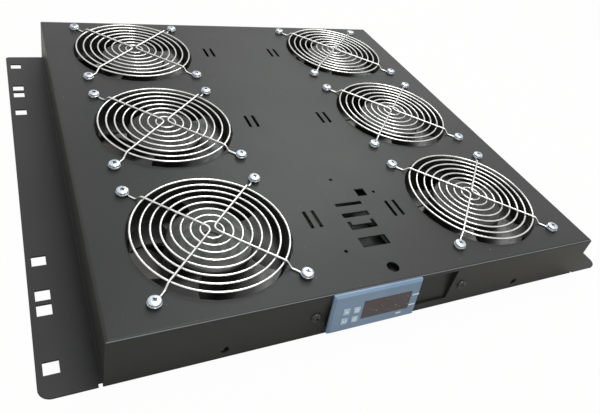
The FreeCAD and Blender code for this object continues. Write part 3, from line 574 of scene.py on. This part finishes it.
def ring_wire(radius, centre):
    """Closed wire ring: a small round section spun about the fan's middle."""
    bm = bmesh.new()
    section = bmesh.ops.create_circle(bm, segments=WIRE_SIDES, radius=WIRE_RADIUS)["verts"]
    bmesh.ops.rotate(bm, verts=section, cent=(0, 0, 0), matrix=Matrix.Rotation(math.radians(90), 3, "X"))
    bmesh.ops.translate(bm, verts=section, vec=(radius, 0, RING_Z))
    steps = max(RING_STEPS_LEAST, round(radius * RING_STEPS_PER_METRE))
    bmesh.ops.spin(bm, geom=section + bm.edges[:], cent=(0, 0, 0), axis=(0, 0, 1), angle=2 * math.pi,
                   steps=steps, use_merge=True, use_duplicate=False)
    bmesh.ops.translate(bm, verts=bm.verts, vec=centre)
    return mesh_from(bm, "ring")


def leg_points(side):
    """Control points of a leg, from one eye over the rings, round the middle and out to the other eye."""
    halves = []
    for end in (-1, 1):
        eye = Vector((side * SCREW_SQUARE, end * SCREW_SQUARE, 0))
        along = eye.normalized()
        across = Vector((-along.y, along.x, 0)) * end * side
        points = [along * reach + Vector((0, 0, height)) for reach, height in LEG_STATIONS]
        swing = EYE_RADIUS / math.cos(math.radians(EYE_STEP / 2))
        for turn in range(EYE_BEND, -EYE_BEND - 1, -EYE_STEP):
            a = math.radians(turn)
            points.append(eye + along * swing * math.cos(a) + across * swing * math.sin(a)
                          + Vector((0, 0, EYE_Z)))
        halves.append(points)
    return halves[0][::-1] + [Vector((0, 0, LEG_Z))] + halves[1]


def leg_wire(side, centre):
    """Leg as a round wire along its control points."""
    curve = bpy.data.curves.new("leg", "CURVE")
    curve.dimensions = "3D"
    curve.bevel_depth = WIRE_RADIUS
    curve.bevel_resolution = 2
    curve.use_fill_caps = True
    path = curve.splines.new("NURBS")
    points = leg_points(side)
    path.points.add(len(points) - 1)
    for slot, point in zip(path.points, points):
        slot.co = (*(point + centre), 1)
    path.order_u = 3
    path.use_endpoint_u = True
    path.resolution_u = 6
    shape = bpy.data.objects.new("leg", curve)
    scene.collection.objects.link(shape)
    bpy.context.view_layer.update()
    mesh = bpy.data.meshes.new_from_object(shape.evaluated_get(bpy.context.evaluated_depsgraph_get()))
    bpy.data.objects.remove(shape)
    return mesh


def bright_wire():
    """Bright plating with a slight haze and small stains."""
    material, tree, main = shader("bright_wire")
    main.inputs["Metallic"].default_value = 1.0
    colour = ramp(tree, noise(tree, 160.0, 3.0), [(0.3, (0.56, 0.56, 0.55)), (0.6, (0.74, 0.74, 0.72))])
    tree.links.new(colour, main.inputs["Base Color"])
    roughness_between(tree, main, noise(tree, 240.0, 3.0), 0.12, 0.22)
    return material


guard_wire = bright_wire()
for number in range(1, 7):
    centre = fan_centre(number)
    bm = bmesh.new()
    for k in range(RING_COUNT):
        bm.from_mesh(ring_wire(RING_OUTER - k * RING_STEP, centre))
    for side in (-1, 1):
        bm.from_mesh(leg_wire(side, centre))
    guard = bpy.data.meshes.new("guard")
    bm.to_mesh(guard)
    bm.free()
    guard.shade_smooth()
    dressed(f"wire_guard_{number}", guard, guard_wire, "tray", f"finger_guard_{number}")


# ---- Guard screws ----------------------------------------------------------------------------
# Steel pan heads, zinc-plated and passivated blue, each with a captive washer over the wire's eye and a
# cross recess. They cut their thread in the fan's flange. No two crosses stand alike.
HEAD_FACES = 32
SHANK_RADIUS = 0.00215
SCREW_REACH = 0.012
SEAT_Z = PLATE_Z + 2 * WIRE_RADIUS
HEAD_OUTLINE = ((0, 0.0034), (0.0016, 0.00338), (0.0032, 0.0032), (0.0041, 0.0029), (0.0045, 0.0024),
                (0.0046, 0.0018), (0.0045, 0.0013), (0.0042, 0.00112), (0.0045, 0.0010), (0.00475, 0.0008),
                (0.00475, 0.0003), (0.0046, 0.0001), (0.00215, 0.0))
CROSS_LONG = 0.0022
CROSS_WIDE = 0.0008
CROSS_DEEP = 0.0024
CROSS_TAPER = (0.6, 0.7)


def recessed(head, tool_size, top):
    """Head with its cross recess cut."""
    tools = []
    for k in (0, 1):
        bm = bmesh.new()
        long, wide, deep = tool_size
        made = bar(bm, -long, long, -wide, wide, top - deep, top + deep)
        for corner in made:
            if corner.co.z < top:
                corner.co.x *= CROSS_TAPER[0]
                corner.co.y *= CROSS_TAPER[1]
        tool = mesh_from(bm, "slot")
        tool.transform(Matrix.Rotation(math.radians(90 * k), 4, "Z"))
        tools.append(tool)
    return joined(head, tools, "DIFFERENCE")


def zinc():
    """Blue-white zinc with a fine tooling haze and scattered darker marks."""
    material, tree, main = shader("zinc_plate")
    main.inputs["Metallic"].default_value = 1.0
    colour = ramp(tree, noise(tree, 900.0, 3.0), [(0.35, (0.40, 0.45, 0.51)), (0.6, (0.68, 0.73, 0.78))])
    tree.links.new(colour, main.inputs["Base Color"])
    roughness_between(tree, main, noise(tree, 1500.0, 3.0), 0.2, 0.38)
    bump(tree, main, noise(tree, 2500.0, 1.0), 0.2, 0.00003)
    return material


random.seed(7)
zinc_plate = zinc()
screw_end = SEAT_Z - SCREW_REACH
outline = [(r, SEAT_Z + h) for r, h in HEAD_OUTLINE] + [(SHANK_RADIUS, screw_end), (0, screw_end)]
head_top = SEAT_Z + HEAD_OUTLINE[0][1]
screw = recessed(turned("screw", outline, HEAD_FACES), (CROSS_LONG, CROSS_WIDE, CROSS_DEEP), head_top)
bm = bmesh.new()
for number in range(1, 7):
    for i in (-1, 1):
        for j in (-1, 1):
            place = Matrix.Translation(fan_centre(number) + Vector((i, j, 0)) * SCREW_SQUARE)
            bm.from_mesh(moved(screw, Matrix.Rotation(random.uniform(0, math.pi / 2), 4, "Z"), place))
screws = bpy.data.meshes.new("screws")
bm.to_mesh(screws)
bm.free()
smooth_by_angle(screws, 40)
dressed("guard_pan_screws", screws, zinc_plate, "tray", "guard_screws")


# ---- Controller bezel ------------------------------------------------------------------------
# Moulded blue-grey front of the panel controller, leaning back in the window. Its front edges are
# bevelled, and its name's place is left plain.
LEAN = math.radians(-7.0)
BEZEL_WIDE, BEZEL_TALL, BEZEL_THICK = 0.075, 0.0345, 0.003
BEZEL_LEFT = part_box("controller_bezel")[0].x
BEZEL_ROUND = 0.0006
BEZEL_BEVEL = 0.0015
BEZEL_DROP = 0.0006
CUT_REACH = 0.01
KEY_HOLE_ROUND = 0.0006
DISPLAY = (0.0253, 0.0090, 0.0415, 0.0170)
KEY_PLACES = {"key_up": (0.0088, 0.0126), "key_set": (0.0174, 0.0130), "key_down": (0.0086, 0.0212),
              "key_power": (0.0172, 0.0214)}
KEY_SIZE, KEY_GAP, KEY_PROUD = 0.0056, 0.0002, 0.0006
lean = Matrix.Translation((0, tray_low.y, PLATE_Z - BEZEL_DROP)) @ Matrix.Rotation(LEAN, 4, "X")


def box_mesh(x0, x1, y0, y1, z0, z1, rounding=0.0, test=None, segments=3):
    """Closed bar, with the edges that pass a test rounded."""
    bm = bmesh.new()
    bar(bm, x0, x1, y0, y1, z0, z1)
    if rounding:
        edges = [e for e in bm.edges if test(e)]
        bmesh.ops.bevel(bm, geom=edges, offset=rounding, affect="EDGES", segments=segments, profile=0.5,
                        material=-1)
    return mesh_from(bm, "bar")


def runs_deep(edge):
    """Edge along Y, front to back."""
    return abs(edge.verts[0].co.y - edge.verts[1].co.y) > 1e-6


def at_front(limit):
    """Test for edges that lie in the front face."""
    return lambda edge: all(abs(v.co.y - limit) < 1e-7 for v in edge.verts)


def bezel_mesh():
    """Bezel in the controller's own layout, with its openings."""
    bm = bmesh.new()
    bar(bm, BEZEL_LEFT, BEZEL_LEFT + BEZEL_WIDE, -BEZEL_THICK, 0, -BEZEL_TALL, 0)
    front = [e for e in bm.edges if at_front(-BEZEL_THICK)(e)]
    bmesh.ops.bevel(bm, geom=front, offset=BEZEL_BEVEL, affect="EDGES", segments=1, profile=0.5, material=-1)
    bmesh.ops.bevel(bm, geom=[e for e in bm.edges if runs_deep(e)], offset=BEZEL_ROUND, affect="EDGES",
                    segments=3, profile=0.5, material=-1)
    body = mesh_from(bm, "bezel")
    left, top, wide, tall = DISPLAY
    x = BEZEL_LEFT + left
    cuts = [box_mesh(x, x + wide, -CUT_REACH, CUT_REACH, -top - tall, -top)]
    for left, top in KEY_PLACES.values():
        x = BEZEL_LEFT + left
        cuts.append(box_mesh(x - KEY_GAP, x + KEY_SIZE + KEY_GAP, -CUT_REACH, CUT_REACH,
                             -top - KEY_SIZE - KEY_GAP, -top + KEY_GAP, KEY_HOLE_ROUND, runs_deep))
    return joined(body, cuts, "DIFFERENCE")


def moulded(name, dark, light, rough=(0.38, 0.5), scale=40.0, grain=0.1):
    """Satin moulded plastic with faint mottling and a fine spark texture."""
    material, tree, main = shader(name)
    colour = ramp(tree, noise(tree, scale, 3.0), [(0.35, dark), (0.65, light)])
    tree.links.new(colour, main.inputs["Base Color"])
    roughness_between(tree, main, noise(tree, scale * 3, 2.0), *rough)
    bump(tree, main, noise(tree, 2600.0, 2.0), grain, 0.00003)
    return material


bezel_plastic = moulded("bezel_plastic", (0.180, 0.275, 0.405), (0.205, 0.305, 0.445))
bezel = bezel_mesh()
bezel.transform(lean)
smooth_by_angle(bezel, 25)
dressed("bevelled_bezel", bezel, bezel_plastic, "tray", "controller_bezel")

# Pale printed marks beside the display, where its lamps' names would stand.
MARKS = ((0.0680, 0.0128, 0.0060), (0.0670, 0.0223, 0.0058), (0.0570, 0.0280, 0.0046))
MARK_TALL, MARK_THICK = 0.0012, 0.00006
MARK_ROUND, MARK_SUNK = 0.0005, 0.0002
bm = bmesh.new()
for left, top, wide in MARKS:
    x = BEZEL_LEFT + left
    bm.from_mesh(box_mesh(x, x + wide, -BEZEL_THICK - MARK_THICK, -BEZEL_THICK + MARK_SUNK,
                          -top - MARK_TALL, -top, MARK_ROUND, runs_deep))
marks = bpy.data.meshes.new("marks")
bm.to_mesh(marks)
bm.free()
marks.transform(lean)
print_white = moulded("print_white", (0.80, 0.86, 0.92), (0.88, 0.93, 0.97), (0.4, 0.55), 400.0)
dash = linked("printed_dashes", marks)
marks.materials.append(print_white)
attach(dash, "tray")


# ---- Keys ------------------------------------------------------------------------------------
# Four pale blue-grey push keys with rounded corners, each with a raised sign: an upward and a downward
# arrow, a square for the settings and a ring for the switch.
KEY_ROUND, KEY_INSIDE = 0.0005, 0.0002
SKIRT_WIDE, SKIRT_THICK = 0.0007, 0.0008
SIGN_RAISED, SIGN_SUNK = 0.00008, 0.0003
ARROW_HALF, ARROW_FOOT, ARROW_TIP = 0.0015, -0.0007, 0.0009
SQUARE_HALF = 0.0011
SWITCH_RADIUS = 0.0013
SWITCH_BAR = (0.0004, 0.0019)
WIDE_STROKE, THIN_STROKE = 0.0008, 0.0007


def key_mesh(left, top):
    """Key cap with its retaining skirt behind the bezel."""
    x = BEZEL_LEFT + left
    cap = box_mesh(x, x + KEY_SIZE, -BEZEL_THICK - KEY_PROUD, KEY_INSIDE, -top - KEY_SIZE, -top, KEY_ROUND,
                   lambda e: runs_deep(e) or at_front(-BEZEL_THICK - KEY_PROUD)(e))
    skirt = box_mesh(x - SKIRT_WIDE, x + KEY_SIZE + SKIRT_WIDE, 0, SKIRT_THICK,
                     -top - KEY_SIZE - SKIRT_WIDE, -top + SKIRT_WIDE)
    return joined(cap, [skirt], "UNION")


def sign_mesh(kind, left, top):
    """Raised sign on a key: thin bars of one height."""
    x, z = BEZEL_LEFT + left + KEY_SIZE / 2, -top - KEY_SIZE / 2
    face = -BEZEL_THICK - KEY_PROUD
    bm = bmesh.new()

    def stroke(x0, z0, x1, z1, wide=WIDE_STROKE):
        """Straight raised stroke between two points."""
        run = Vector((x1 - x0, 0, z1 - z0))
        made = bar(bm, 0, run.length, face - SIGN_RAISED, face + SIGN_SUNK, -wide / 2, wide / 2)
        turn = Matrix.Rotation(-math.atan2(run.z, run.x), 4, "Y")
        bmesh.ops.transform(bm, matrix=Matrix.Translation((x + x0, 0, z + z0)) @ turn, verts=made)

    if kind in ("key_up", "key_down"):
        way = 1 if kind == "key_up" else -1
        stroke(-ARROW_HALF, ARROW_FOOT * way, 0, ARROW_TIP * way)
        stroke(0, ARROW_TIP * way, ARROW_HALF, ARROW_FOOT * way)
    elif kind == "key_set":
        for a, b in (((-1, -1), (1, -1)), ((1, -1), (1, 1)), ((1, 1), (-1, 1)), ((-1, 1), (-1, -1))):
            stroke(a[0] * SQUARE_HALF, a[1] * SQUARE_HALF, b[0] * SQUARE_HALF, b[1] * SQUARE_HALF,
                   THIN_STROKE)
    else:
        turns = [math.radians(degrees) for degrees in range(130, 411, 35)]
        corners = [(SWITCH_RADIUS * math.cos(t), SWITCH_RADIUS * math.sin(t)) for t in turns]
        for a, b in zip(corners, corners[1:]):
            stroke(*a, *b, THIN_STROKE)
        stroke(0, SWITCH_BAR[0], 0, SWITCH_BAR[1], THIN_STROKE)
    mesh = bpy.data.meshes.new("sign")
    bm.to_mesh(mesh)
    bm.free()
    return mesh


key_plastic = moulded("key_plastic", (0.40, 0.54, 0.68), (0.46, 0.60, 0.74), (0.32, 0.45), 300.0)
sign_plastic = moulded("sign_white", (0.93, 0.96, 0.98), (0.96, 0.98, 1.0), (0.4, 0.5), 300.0)
for node, (left, top) in KEY_PLACES.items():
    cap = key_mesh(left, top)
    cap.transform(lean)
    smooth_by_angle(cap, 30)
    dressed(f"cap_{node}", cap, key_plastic, node, node)
    sign = sign_mesh(node, left, top)
    sign.transform(lean)
    raised = linked(f"sign_{node}", sign)
    sign.materials.append(sign_plastic)
    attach(raised, node)


# ---- Display ---------------------------------------------------------------------------------
# Tinted red-brown pane set a little back in the bezel, glossy, with dust specks on it. The digits are
# unlit, so the block behind it stays dark.

def tinted():
    """Glossy tinted pane with pale specks."""
    material, tree, main = shader("display_tint")
    specks = ramp(tree, noise(tree, 520.0, 1.0), [(0.70, grey(0.0)), (0.74, grey(1.0))])
    base = ramp(tree, noise(tree, 60.0, 3.0), [(0.35, (0.058, 0.040, 0.050)), (0.65, (0.072, 0.050, 0.060))])
    tree.links.new(mixed(tree, specks, base, (0.32, 0.25, 0.26)), main.inputs["Base Color"])
    roughness_between(tree, main, specks, 0.14, 0.6)
    bump(tree, main, noise(tree, 520.0, 1.0), 0.05, 0.00003)
    return material


dress("display_window", tinted())
dress("display_module", moulded("module_plastic", grey(0.012), grey(0.016)))


# ---- Controller case, clips and terminals ----------------------------------------------------
# Black moulded case pushed through the carrier plate, held by two orange side clips, with a green screw
# terminal row behind and green boards inside.
case_plastic = moulded("case_plastic", grey(0.016), grey(0.022), (0.4, 0.55))
dress("controller_case", case_plastic)
dress("side_clips", moulded("clip_orange", (0.60, 0.17, 0.02), (0.68, 0.21, 0.03)))
dress("controller_terminals", moulded("terminal_green", (0.02, 0.20, 0.07), (0.03, 0.25, 0.09)))
dress("controller_boards", moulded("board_green", (0.01, 0.10, 0.04), (0.02, 0.13, 0.05)))


# ---- Carrier screws and nuts -----------------------------------------------------------------
# Two black-oxided pan heads with cross recesses through the front flange, and plated nuts behind.
CARRIER_OUTLINE = ((0, 0.0022), (0.0016, 0.00215), (0.0030, 0.0018), (0.0039, 0.0011), (0.0042, 0.0003),
                   (0.0042, 0), (0.0020, 0), (0.0020, -0.008), (0, -0.008))
CARRIER_CROSS = (0.0021, 0.0005, 0.0016)


def black_oxide():
    """Oily black oxide with a faint brighter mottle."""
    material, tree, main = shader("black_screw")
    main.inputs["Metallic"].default_value = 0.3
    colour = ramp(tree, noise(tree, 800.0, 3.0), [(0.4, (0.022, 0.023, 0.026)), (0.7, (0.07, 0.074, 0.082))])
    tree.links.new(colour, main.inputs["Base Color"])
    roughness_between(tree, main, noise(tree, 900.0, 2.0), 0.10, 0.18)
    bump(tree, main, noise(tree, 2000.0, 1.0), 0.1, 0.00003)
    return material


low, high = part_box("carrier_screws")
black_head = recessed(turned("screw", CARRIER_OUTLINE, HEAD_FACES), CARRIER_CROSS, CARRIER_OUTLINE[0][1])
head_radius = CARRIER_OUTLINE[4][0]
bm = bmesh.new()
for x in (low.x + head_radius, high.x - head_radius):
    middle = (x, tray_low.y, (low.z + high.z) / 2)
    place = Matrix.Translation(middle) @ Matrix.Rotation(math.radians(90), 4, "X")
    bm.from_mesh(moved(black_head, Matrix.Rotation(random.uniform(0, math.pi / 2), 4, "Z"), place))
pair = bpy.data.meshes.new("pair")
bm.to_mesh(pair)
bm.free()
smooth_by_angle(pair, 40)
dressed("black_pan_screws", pair, black_oxide(), "tray", "carrier_screws")
dress("carrier_nuts", zinc_plate)


# ---- Motors ----------------------------------------------------------------------------------
# Varnished lamination stack with its windings on the bearing post, a bronze sleeve in the post and the
# ground shaft of the rotor cup.

def metal(name, dark, light, rough, scale):
    """Plain metal with fine tooling marks."""
    material, tree, main = shader(name)
    main.inputs["Metallic"].default_value = 1.0
    colour = ramp(tree, noise(tree, scale, 3.0), [(0.35, dark), (0.65, light)])
    tree.links.new(colour, main.inputs["Base Color"])
    roughness_between(tree, main, noise(tree, scale * 2, 2.0), *rough)
    bump(tree, main, noise(tree, scale * 3, 1.0), 0.1, 0.00003)
    return material


varnished = metal("motor_steel", (0.16, 0.13, 0.10), (0.26, 0.22, 0.18), (0.4, 0.6), 300.0)
ground = metal("ground_steel", grey(0.55), grey(0.68), (0.18, 0.3), 900.0)
for number in range(1, 7):
    dress(f"stator_{number}", varnished)
    dress(f"rotor_shaft_{number}", ground)
dress("fan_bushes", metal("sintered_bronze", (0.38, 0.22, 0.09), (0.5, 0.31, 0.14), (0.4, 0.6), 900.0))


# ---- Mains inlet -----------------------------------------------------------------------------
# Black moulded three-pin inlet on the rear flange, with nickel-plated blades and two plated screws.
dress("power_inlet", case_plastic)
dress("inlet_pins", metal("nickel_contact", (0.56, 0.54, 0.48), (0.7, 0.68, 0.62), (0.2, 0.35), 900.0))
dress("inlet_screws", zinc_plate)
dress("inlet_nuts", zinc_plate)


low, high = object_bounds()
